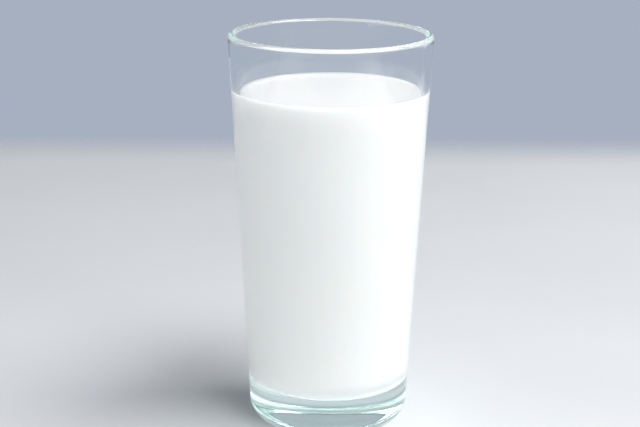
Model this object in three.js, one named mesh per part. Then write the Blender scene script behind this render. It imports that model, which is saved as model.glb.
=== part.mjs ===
// A tall tumbler of clear glass with a thick base, filled with milk to a finger's width below its lip.
// Millimetres, +Z up. The origin is the middle of the foot, on the surface that the glass stands on.

import * as THREE from "three";

// The glass
const HEIGHT = 145;
const LIP_RADIUS = 36.6; // outside, just below the rounded lip
const FOOT_RADIUS = 28.8; // outside wall, run straight down to the table
const LIP_WALL = 2.9; // thickness of the wall at the lip
const LOW_WALL = 3.5; // thickness of the wall at the foot
const BASE_THICKNESS = 15; // solid glass under the milk, from the table up
const BOWL_CORNER = 7.5; // rounding between the inner wall and the inner floor
const HEEL_CORNER = 9; // rounding between the outer wall and the underside
const PUNT_RADIUS = 19.2; // hollow in the underside, inside the ring that it stands on
const PUNT_DEPTH = 3;
const PUNT_FLATNESS = 4; // the hollow is flat in the middle and turns down towards the ring

// The milk
const MILK_LEVEL = 123.7;
const MENISCUS_RISE = 1.3; // how far the milk climbs the wall
const MENISCUS_REACH = 1.8; // distance from the wall over which that climb dies away
const MENISCUS_WIDTH = 7; // beyond this the surface is flat
const GAP = 0.3; // clearance between the milk and the glass

// How finely the round forms are divided
const SIDES = 64;
const PUNT_STEPS = 6;
const HEEL_STEPS = 8;
const LIP_STEPS = 10;
const CORNER_STEPS = 7;
const MENISCUS_STEPS = 5;

const LIP_CENTRE = HEIGHT - LIP_WALL / 2; // height of the centre of the lip's rounding
const SLOPE = (LIP_RADIUS - FOOT_RADIUS) / LIP_CENTRE;
const TAPER = Math.atan(SLOPE);

// Radius of the outer wall at height z.
function outerRadius(z) {
  return FOOT_RADIUS + SLOPE * z;
}

// Radius of the inner wall at height z. The wall thins evenly towards the lip.
function innerRadius(z) {
  return outerRadius(z) - LOW_WALL + ((LOW_WALL - LIP_WALL) * z) / LIP_CENTRE;
}

// Points on an arc, both ends included. Angles are from the outward direction, positive upwards.
function arc(centreRadius, centreHeight, radius, from, to, steps) {
  const points = [];
  for (let i = 0; i <= steps; i++) {
    const angle = from + ((to - from) * i) / steps;
    const r = centreRadius + radius * Math.cos(angle);
    const z = centreHeight + radius * Math.sin(angle);
    points.push(new THREE.Vector2(r, z));
  }
  return points;
}

// Hollow of the underside, from the axis out to the standing ring, with closer points near the ring.
function puntPoints() {
  const points = [];
  for (let i = 0; i <= PUNT_STEPS; i++) {
    const share = Math.sqrt(i / PUNT_STEPS);
    points.push(new THREE.Vector2(PUNT_RADIUS * share, PUNT_DEPTH * (1 - share ** PUNT_FLATNESS)));
  }
  return points;
}

// Rounding that meets the flat underside and the tapered outer wall smoothly.
function heelPoints() {
  const centreRadius = outerRadius(HEEL_CORNER) - HEEL_CORNER / Math.cos(TAPER);
  return arc(centreRadius, HEEL_CORNER, HEEL_CORNER, -Math.PI / 2, -TAPER, HEEL_STEPS);
}

// Half-round lip, from the outer wall over the top to the inner wall.
function lipPoints() {
  return arc(LIP_RADIUS - LIP_WALL / 2, LIP_CENTRE, LIP_WALL / 2, 0, Math.PI, LIP_STEPS);
}

// Rounding between the inner floor and the inner wall, from the floor up, `inset` inside the glass.
function cornerPoints(inset) {
  const centreHeight = BASE_THICKNESS + BOWL_CORNER;
  const centreRadius = innerRadius(centreHeight) - BOWL_CORNER / Math.cos(TAPER);
  return arc(centreRadius, centreHeight, BOWL_CORNER - inset, -Math.PI / 2, -TAPER, CORNER_STEPS);
}

// The milk's upper surface, from its highest line on the wall in to the flat middle.
function meniscusPoints() {
  const wallTop = MILK_LEVEL + MENISCUS_RISE;
  const edge = innerRadius(wallTop) - GAP;
  const points = [];
  for (let i = 0; i <= MENISCUS_STEPS; i++) {
    const share = i / MENISCUS_STEPS;
    const distance = MENISCUS_WIDTH * share * share;
    const rise = i < MENISCUS_STEPS ? MENISCUS_RISE * Math.exp(-distance / MENISCUS_REACH) : 0;
    points.push(new THREE.Vector2(edge - distance, MILK_LEVEL + rise));
  }
  return points;
}

// A solid of revolution about +Z from an outline that starts and ends on the axis.
function turned(points) {
  const geometry = new THREE.LatheGeometry(points, SIDES);
  geometry.rotateX(Math.PI / 2);
  return geometry;
}

function makeGlass() {
  const outline = [
    ...puntPoints(),
    ...heelPoints(),
    ...lipPoints(),
    ...cornerPoints(0).reverse(),
    new THREE.Vector2(0, BASE_THICKNESS),
  ];
  const material = new THREE.MeshStandardMaterial({
    color: 0xe3eef0,
    roughness: 0.03,
    metalness: 0,
    transparent: true,
    opacity: 0.35,
  });
  const mesh = new THREE.Mesh(turned(outline), material);
  mesh.name = "glass";
  return mesh;
}

function makeMilk() {
  const outline = [
    new THREE.Vector2(0, BASE_THICKNESS + GAP),
    ...cornerPoints(GAP),
    ...meniscusPoints(),
    new THREE.Vector2(0, MILK_LEVEL),
  ];
  const material = new THREE.MeshStandardMaterial({ color: 0xf6f7f4, roughness: 0.3, metalness: 0 });
  const mesh = new THREE.Mesh(turned(outline), material);
  mesh.name = "milk";
  return mesh;
}

const group = new THREE.Group();
group.add(makeGlass(), makeMilk());

export default group;
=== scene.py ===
"""A tall tumbler of clear glass, filled with milk, on a pale table in soft studio light. Metres, +Z up."""

import math

import bpy
from mathutils import Matrix, Vector


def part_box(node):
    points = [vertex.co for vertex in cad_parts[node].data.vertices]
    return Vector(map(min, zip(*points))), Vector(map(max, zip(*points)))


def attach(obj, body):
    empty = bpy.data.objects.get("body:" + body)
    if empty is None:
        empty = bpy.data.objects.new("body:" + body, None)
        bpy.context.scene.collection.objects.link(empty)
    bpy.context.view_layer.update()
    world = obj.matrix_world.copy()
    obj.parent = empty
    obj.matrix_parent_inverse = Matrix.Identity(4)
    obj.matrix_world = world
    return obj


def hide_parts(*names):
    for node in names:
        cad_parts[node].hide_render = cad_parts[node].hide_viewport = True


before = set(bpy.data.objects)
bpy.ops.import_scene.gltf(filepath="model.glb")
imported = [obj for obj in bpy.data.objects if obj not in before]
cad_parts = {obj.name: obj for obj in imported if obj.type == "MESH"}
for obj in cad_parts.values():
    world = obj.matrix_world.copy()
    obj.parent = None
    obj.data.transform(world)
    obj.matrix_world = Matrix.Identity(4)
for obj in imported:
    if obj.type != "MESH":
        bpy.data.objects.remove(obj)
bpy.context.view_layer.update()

MM = 0.001

# Sizes of the glass
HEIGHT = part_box("glass")[1].z
LIP_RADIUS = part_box("glass")[1].x
FOOT_RADIUS = 28.8 * MM
LIP_WALL = 2.9 * MM
LOW_WALL = 3.5 * MM
BASE_THICKNESS = 15 * MM
BOWL_CORNER = 7.5 * MM
HEEL_CORNER = 9 * MM
PUNT_RADIUS = 19.2 * MM
PUNT_DEPTH = 3 * MM
PUNT_FLATNESS = 4

# Sizes of the milk
MILK_LEVEL = 123.7 * MM
MENISCUS_RISE = 1.3 * MM
MENISCUS_REACH = 1.8 * MM
MENISCUS_WIDTH = 7 * MM
WETTING = 0.04 * MM  # how far the milk reaches into the wall, so that no air shows between them

# Fineness of the turned meshes
SIDES = 256
ROWS_PER_MM = 0.5
PUNT_STEPS = 32
HEEL_STEPS = 36
LIP_STEPS = 24
CORNER_STEPS = 24
MENISCUS_STEPS = 28
FLOOR_RINGS = 6
SURFACE_RINGS = 8

LIP_CENTRE = HEIGHT - LIP_WALL / 2
SLOPE = (LIP_RADIUS - FOOT_RADIUS) / LIP_CENTRE
TAPER = math.atan(SLOPE)

# Look of the glass
GLASS_IOR = 1.52
GLASS_TINT = (0.45, 0.90, 0.80, 1)
GLASS_TINT_DENSITY = 5.0
SMUDGE_SCALE = 45
SMUDGE_ROUGHNESS = 0.03
WAVE_SCALE = 60
WAVE_UPRIGHT_STRETCH = 0.12
WAVE_STRENGTH = 0.3
WAVE_HEIGHT = 0.12 * MM

# Look of the milk
MILK_IOR = 1.35
MILK_COLOURS = ((0.90, 0.905, 0.885), (0.93, 0.93, 0.915))
MILK_SURFACE_ROUGHNESS = 0.18
MILK_SCATTER_DEPTH = 5 * MM
MILK_SCATTER_BY_COLOUR = (1.0, 0.9, 0.8)
SURFACE_TOLERANCE = 0.01 * MM
FACES_UP = 0.1  # the least upward share of a normal on the milk's upper surface

# The table: it fades out before its own edge, along a square with round corners
TABLE_HALF_WIDTH = 0.75
TABLE_COLOURS = ((0.725, 0.745, 0.765), (0.750, 0.770, 0.790))
TABLE_ROUGHNESS = 0.55
FADE_START = 0.396
FADE_END = 0.486
FADE_CORNER = 0.2

# Colours of the surroundings by the sine of the height angle, behind the glass and on the camera's side
BEHIND = (
    (-0.08, (0.386, 0.434, 0.527)),
    (0.02, (0.66, 0.70, 0.74)),
    (0.18, (0.62, 0.66, 0.71)),
    (0.30, (0.44, 0.48, 0.53)),
    (0.47, (0.42, 0.46, 0.51)),
    (0.55, (0.02, 0.02, 0.025)),
)
IN_FRONT = (
    (-0.08, (0.386, 0.434, 0.527)),
    (0.00, (1.00, 1.02, 1.04)),
    (0.22, (1.00, 1.02, 1.04)),
    (0.45, (0.05, 0.05, 0.055)),
)
SIDES_BLEND = 0.2  # half the width of the change from one to the other
LAMP_DISTANCE = 1.3

# The camera, found from the outline of the glass in the photograph
PHOTO_WIDTH = 640
FOCAL_PIXELS = 1650
SENSOR_WIDTH = 36
CAMERA_DISTANCE = 581.0 * MM
CAMERA_HEIGHT = 237.7 * MM
CAMERA_PITCH = math.radians(15.32)
CAMERA_ROLL = math.radians(0.43)
GLASS_RIGHT_OF_CENTRE = 9.7  # pixels

# Light passes many surfaces in glass
MOST_BOUNCES = 32
MOST_GLOSSY_BOUNCES = 24


def outer_radius(z):
    return FOOT_RADIUS + SLOPE * z


def inner_radius(z):
    return outer_radius(z) - LOW_WALL + (LOW_WALL - LIP_WALL) * z / LIP_CENTRE


def arc(centre, radius, start, end, steps):
    """Points (r, z) on an arc, both ends included. Angles are from the outward direction."""
    points = []
    for i in range(steps + 1):
        angle = start + (end - start) * i / steps
        points.append((centre[0] + radius * math.cos(angle), centre[1] + radius * math.sin(angle)))
    return points


def heights(bottom, top):
    """Evenly spaced heights strictly between two heights."""
    rows = max(2, round((top - bottom) / MM * ROWS_PER_MM))
    return [bottom + (top - bottom) * i / rows for i in range(1, rows)]


def flat_rings(radius, z, rings):
    """Points (r, z) on a level disc, from the axis out, without its edge."""
    return [(radius * i / rings, z) for i in range(rings)]


def punt_points():
    """The hollow of the underside, from the axis out."""
    shares = [i / PUNT_STEPS for i in range(PUNT_STEPS + 1)]
    return [(PUNT_RADIUS * s, PUNT_DEPTH * (1 - s**PUNT_FLATNESS)) for s in shares]


def heel_points():
    centre = (outer_radius(HEEL_CORNER) - HEEL_CORNER / math.cos(TAPER), HEEL_CORNER)
    return arc(centre, HEEL_CORNER, -math.pi / 2, -TAPER, HEEL_STEPS)


def lip_points():
    return arc((LIP_RADIUS - LIP_WALL / 2, LIP_CENTRE), LIP_WALL / 2, 0, math.pi, LIP_STEPS)


def corner_points(outset):
    """The rounding between the inner floor and the inner wall, from the floor up."""
    height = BASE_THICKNESS + BOWL_CORNER
    centre = (inner_radius(height) - BOWL_CORNER / math.cos(TAPER), height)
    return arc(centre, BOWL_CORNER + outset, -math.pi / 2, -TAPER, CORNER_STEPS)


def glass_outline():
    heel = heel_points()
    corner = corner_points(0)
    outer = [(outer_radius(z), z) for z in heights(heel[-1][1], LIP_CENTRE)]
    inner = [(inner_radius(z), z) for z in heights(corner[-1][1], LIP_CENTRE)]
    floor = flat_rings(corner[0][0], BASE_THICKNESS, FLOOR_RINGS)
    return punt_points() + heel + outer + lip_points() + inner[::-1] + corner[::-1] + floor[::-1]


def meniscus_points():
    """The milk's upper surface, from its highest line on the wall in to the axis."""
    edge = inner_radius(MILK_LEVEL + MENISCUS_RISE) + WETTING
    points = []
    for i in range(MENISCUS_STEPS + 1):
        distance = MENISCUS_WIDTH * (i / MENISCUS_STEPS) ** 2
        rise = MENISCUS_RISE * math.exp(-distance / MENISCUS_REACH)
        points.append((edge - distance, MILK_LEVEL + rise))
    level = flat_rings(points[-1][0], MILK_LEVEL, SURFACE_RINGS)
    return points + level[::-1]


def milk_outline():
    corner = corner_points(WETTING)
    surface = meniscus_points()
    floor = flat_rings(corner[0][0], BASE_THICKNESS - WETTING, FLOOR_RINGS)
    side = [(inner_radius(z) + WETTING, z) for z in heights(corner[-1][1], surface[0][1])]
    return floor + corner + side + surface


def turned(name, outline):
    """A closed mesh turned about the Z axis from an outline that starts and ends on it."""
    vertices = [(0, 0, outline[0][1])]
    for r, z in outline[1:-1]:
        for i in range(SIDES):
            angle = 2 * math.pi * i / SIDES
            vertices.append((r * math.cos(angle), r * math.sin(angle), z))
    vertices.append((0, 0, outline[-1][1]))
    last = len(vertices) - 1
    rings = len(outline) - 2
    faces = []
    for i in range(SIDES):
        j = (i + 1) % SIDES
        faces.append((0, 1 + j, 1 + i))
        for k in range(rings - 1):
            low = 1 + k * SIDES
            high = 1 + (k + 1) * SIDES
            faces.append((low + i, low + j, high + j, high + i))
        top = 1 + (rings - 1) * SIDES
        faces.append((top + i, top + j, last))
    mesh = bpy.data.meshes.new(name)
    mesh.from_pydata(vertices, [], faces)
    mesh.polygons.foreach_set("use_smooth", [True] * len(mesh.polygons))
    mesh.update()
    piece = bpy.data.objects.new(name, mesh)
    bpy.context.scene.collection.objects.link(piece)
    return piece


def new_material(name):
    material = bpy.data.materials.new(name)
    material.use_nodes = True
    nodes = material.node_tree.nodes
    nodes.clear()
    return material, nodes, material.node_tree.links


def noise(nodes, links, vector, scale, detail):
    texture = nodes.new("ShaderNodeTexNoise")
    texture.inputs["Scale"].default_value = scale
    texture.inputs["Detail"].default_value = detail
    links.new(vector, texture.inputs["Vector"])
    return texture.outputs["Fac"]


def mottling(nodes, links, vector, scale, detail, colours):
    """A soft mix of two near colours."""
    ramp = nodes.new("ShaderNodeValToRGB")
    for stop, level, colour in zip(ramp.color_ramp.elements, (0.35, 0.65), colours):
        stop.position = level
        stop.color = (*colour, 1)
    links.new(noise(nodes, links, vector, scale, detail), ramp.inputs["Fac"])
    return ramp.outputs["Color"]


def add_smudges(nodes, links, vector, shader):
    """Faint smudges from handling."""
    haze = nodes.new("ShaderNodeMapRange")
    haze.inputs["From Min"].default_value = 0.52
    haze.inputs["From Max"].default_value = 0.75
    haze.inputs["To Max"].default_value = SMUDGE_ROUGHNESS
    links.new(noise(nodes, links, vector, SMUDGE_SCALE, 4), haze.inputs["Value"])
    links.new(haze.outputs["Result"], shader.inputs["Roughness"])


def add_waves(nodes, links, vector, shader):
    """Slight upright waves, as moulded glass has."""
    stretch = nodes.new("ShaderNodeMapping")
    stretch.inputs["Scale"].default_value = (1, 1, WAVE_UPRIGHT_STRETCH)
    links.new(vector, stretch.inputs["Vector"])
    bump = nodes.new("ShaderNodeBump")
    bump.inputs["Strength"].default_value = WAVE_STRENGTH
    bump.inputs["Distance"].default_value = WAVE_HEIGHT
    links.new(noise(nodes, links, stretch.outputs["Vector"], WAVE_SCALE, 1), bump.inputs["Height"])
    links.new(bump.outputs["Normal"], shader.inputs["Normal"])


def glass_material():
    material, nodes, links = new_material("clear_glass")
    out = nodes.new("ShaderNodeOutputMaterial")
    shader = nodes.new("ShaderNodeBsdfPrincipled")
    shader.inputs["Base Color"].default_value = (1, 1, 1, 1)
    shader.inputs["IOR"].default_value = GLASS_IOR
    shader.inputs["Transmission Weight"].default_value = 1.0
    place = nodes.new("ShaderNodeTexCoord")
    add_smudges(nodes, links, place.outputs["Object"], shader)
    add_waves(nodes, links, place.outputs["Object"], shader)
    # Light on its way to the milk or the table goes straight through, so it is counted once
    clear = nodes.new("ShaderNodeBsdfTransparent")
    path = nodes.new("ShaderNodeLightPath")
    surface = shader.outputs["BSDF"]
    for kind in ("Is Diffuse Ray", "Is Shadow Ray"):
        mix = nodes.new("ShaderNodeMixShader")
        links.new(path.outputs[kind], mix.inputs["Fac"])
        links.new(surface, mix.inputs[1])
        links.new(clear.outputs["BSDF"], mix.inputs[2])
        surface = mix.outputs["Shader"]
    links.new(surface, out.inputs["Surface"])
    tint = nodes.new("ShaderNodeVolumeAbsorption")
    tint.inputs["Color"].default_value = GLASS_TINT
    tint.inputs["Density"].default_value = GLASS_TINT_DENSITY
    links.new(tint.outputs["Volume"], out.inputs["Volume"])
    return material


def milk_material(name, roughness, ior):
    material, nodes, links = new_material(name)
    out = nodes.new("ShaderNodeOutputMaterial")
    shader = nodes.new("ShaderNodeBsdfPrincipled")
    place = nodes.new("ShaderNodeTexCoord")
    colour = mottling(nodes, links, place.outputs["Object"], 18, 3, MILK_COLOURS)
    links.new(colour, shader.inputs["Base Color"])
    shader.inputs["Roughness"].default_value = roughness
    shader.inputs["IOR"].default_value = ior
    shader.inputs["Subsurface Weight"].default_value = 1.0
    shader.inputs["Subsurface Radius"].default_value = MILK_SCATTER_BY_COLOUR
    shader.inputs["Subsurface Scale"].default_value = MILK_SCATTER_DEPTH
    links.new(shader.outputs["BSDF"], out.inputs["Surface"])
    return material


def make_glass():
    piece = turned("glass_tumbler", glass_outline())
    piece.data.materials.append(glass_material())
    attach(piece, "root")
    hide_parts("glass")


def make_milk():
    """The milk meets the glass below its upper surface, and air on it."""
    piece = turned("milk_drink", milk_outline())
    piece.data.materials.append(milk_material("milk_body", 0.0, MILK_IOR / GLASS_IOR))
    piece.data.materials.append(milk_material("milk_surface", MILK_SURFACE_ROUGHNESS, MILK_IOR))
    for face in piece.data.polygons:
        if face.center.z > MILK_LEVEL - SURFACE_TOLERANCE and face.normal.z > FACES_UP:
            face.material_index = 1
    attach(piece, "root")
    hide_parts("milk")


def distance_from_axis(nodes, links, split, axis):
    size = nodes.new("ShaderNodeMath")
    size.operation = "ABSOLUTE"
    links.new(split.outputs[axis], size.inputs[0])
    return size.outputs[0]


def table_fade(nodes, links, vector):
    """From 0 on the table to 1 where it is clear."""
    split = nodes.new("ShaderNodeSeparateXYZ")
    links.new(vector, split.inputs["Vector"])
    far = nodes.new("ShaderNodeMath")
    far.operation = "SMOOTH_MAX"
    far.inputs[2].default_value = FADE_CORNER
    links.new(distance_from_axis(nodes, links, split, "X"), far.inputs[0])
    links.new(distance_from_axis(nodes, links, split, "Y"), far.inputs[1])
    fade = nodes.new("ShaderNodeMapRange")
    fade.interpolation_type = "SMOOTHSTEP"
    fade.inputs["From Min"].default_value = FADE_START
    fade.inputs["From Max"].default_value = FADE_END
    links.new(far.outputs[0], fade.inputs["Value"])
    return fade.outputs["Result"]


def table_material():
    material, nodes, links = new_material("pale_table")
    out = nodes.new("ShaderNodeOutputMaterial")
    shader = nodes.new("ShaderNodeBsdfPrincipled")
    shader.inputs["Roughness"].default_value = TABLE_ROUGHNESS
    place = nodes.new("ShaderNodeTexCoord")
    colour = mottling(nodes, links, place.outputs["Object"], 9, 5, TABLE_COLOURS)
    links.new(colour, shader.inputs["Base Color"])
    clear = nodes.new("ShaderNodeBsdfTransparent")
    mix = nodes.new("ShaderNodeMixShader")
    links.new(table_fade(nodes, links, place.outputs["Object"]), mix.inputs["Fac"])
    links.new(shader.outputs["BSDF"], mix.inputs[1])
    links.new(clear.outputs["BSDF"], mix.inputs[2])
    links.new(mix.outputs["Shader"], out.inputs["Surface"])
    return material


def make_floor():
    half = TABLE_HALF_WIDTH
    corners = [(-half, -half, 0), (half, -half, 0), (half, half, 0), (-half, half, 0)]
    mesh = bpy.data.meshes.new("floor")
    mesh.from_pydata(corners, [], [(0, 1, 2, 3)])
    mesh.materials.append(table_material())
    floor = bpy.data.objects.new("floor", mesh)
    bpy.context.scene.collection.objects.link(floor)


def colour_by_height(nodes, links, height, stops):
    """A ramp over heights from -1 to 1."""
    scale = nodes.new("ShaderNodeMapRange")
    scale.inputs["From Min"].default_value = -1
    links.new(height, scale.inputs["Value"])
    ramp = nodes.new("ShaderNodeValToRGB")
    links.new(scale.outputs["Result"], ramp.inputs["Fac"])
    for i, (level, colour) in enumerate(stops):
        stop = ramp.color_ramp.elements[i] if i < 2 else ramp.color_ramp.elements.new(1)
        stop.position = (level + 1) / 2
        stop.color = (*colour, 1)
    return ramp.outputs["Color"]


def make_world():
    """A grey-blue backdrop, lit at its foot, under a dark ceiling."""
    world = bpy.data.worlds.new("backdrop")
    bpy.context.scene.world = world
    world.use_nodes = True
    nodes = world.node_tree.nodes
    links = world.node_tree.links
    background = nodes["Background"]
    place = nodes.new("ShaderNodeTexCoord")
    split = nodes.new("ShaderNodeSeparateXYZ")
    links.new(place.outputs["Generated"], split.inputs["Vector"])
    side = nodes.new("ShaderNodeMapRange")
    side.interpolation_type = "SMOOTHSTEP"
    side.inputs["From Min"].default_value = -SIDES_BLEND
    side.inputs["From Max"].default_value = SIDES_BLEND
    links.new(split.outputs["Y"], side.inputs["Value"])
    mix = nodes.new("ShaderNodeMix")
    mix.data_type = "RGBA"
    links.new(side.outputs["Result"], mix.inputs["Factor"])
    links.new(colour_by_height(nodes, links, split.outputs["Z"], IN_FRONT), mix.inputs["A"])
    links.new(colour_by_height(nodes, links, split.outputs["Z"], BEHIND), mix.inputs["B"])
    links.new(mix.outputs["Result"], background.inputs["Color"])


def softbox(name, azimuth, elevation, width, height, radiance):
    """A rectangular lamp that faces the glass. Azimuth 0 is on the camera's side, 90 to its right."""
    a = math.radians(azimuth)
    e = math.radians(elevation)
    away = Vector((math.sin(a) * math.cos(e), -math.cos(a) * math.cos(e), math.sin(e)))
    middle = Vector((0, 0, HEIGHT / 2))
    light = bpy.data.lights.new(name, "AREA")
    light.shape = "RECTANGLE"
    light.size = width
    light.size_y = height
    light.energy = radiance * math.pi * width * height
    lamp = bpy.data.objects.new(name, light)
    lamp.location = middle + away * LAMP_DISTANCE
    lamp.rotation_mode = "QUATERNION"
    lamp.rotation_quaternion = away.to_track_quat("Z", "Y")
    lamp.visible_camera = False
    bpy.context.scene.collection.objects.link(lamp)


def make_camera():
    data = bpy.data.cameras.new("camera")
    data.sensor_width = SENSOR_WIDTH
    data.lens = SENSOR_WIDTH * FOCAL_PIXELS / PHOTO_WIDTH
    data.clip_start = 0.01
    camera = bpy.data.objects.new("camera", data)
    place = Matrix.Translation((0, -CAMERA_DISTANCE, CAMERA_HEIGHT))
    pan = Matrix.Rotation(math.atan(GLASS_RIGHT_OF_CENTRE / FOCAL_PIXELS), 4, "Z")
    tilt = Matrix.Rotation(math.pi / 2 - CAMERA_PITCH, 4, "X")
    roll = Matrix.Rotation(CAMERA_ROLL, 4, "Z")
    camera.matrix_world = place @ pan @ tilt @ roll
    bpy.context.scene.collection.objects.link(camera)
    bpy.context.scene.camera = camera


def set_look():
    scene = bpy.context.scene
    scene.view_settings.view_transform = "Standard"
    scene.cycles.max_bounces = MOST_BOUNCES
    scene.cycles.glossy_bounces = MOST_GLOSSY_BOUNCES
    scene.cycles.transmission_bounces = MOST_BOUNCES


make_glass()
make_milk()
make_floor()
make_world()
softbox("key_softbox", azimuth=62, elevation=59, width=1.15, height=0.62, radiance=9.9)
softbox("left_softbox", azimuth=-70, elevation=11, width=1.05, height=0.5, radiance=1.5)
make_camera()
set_look()
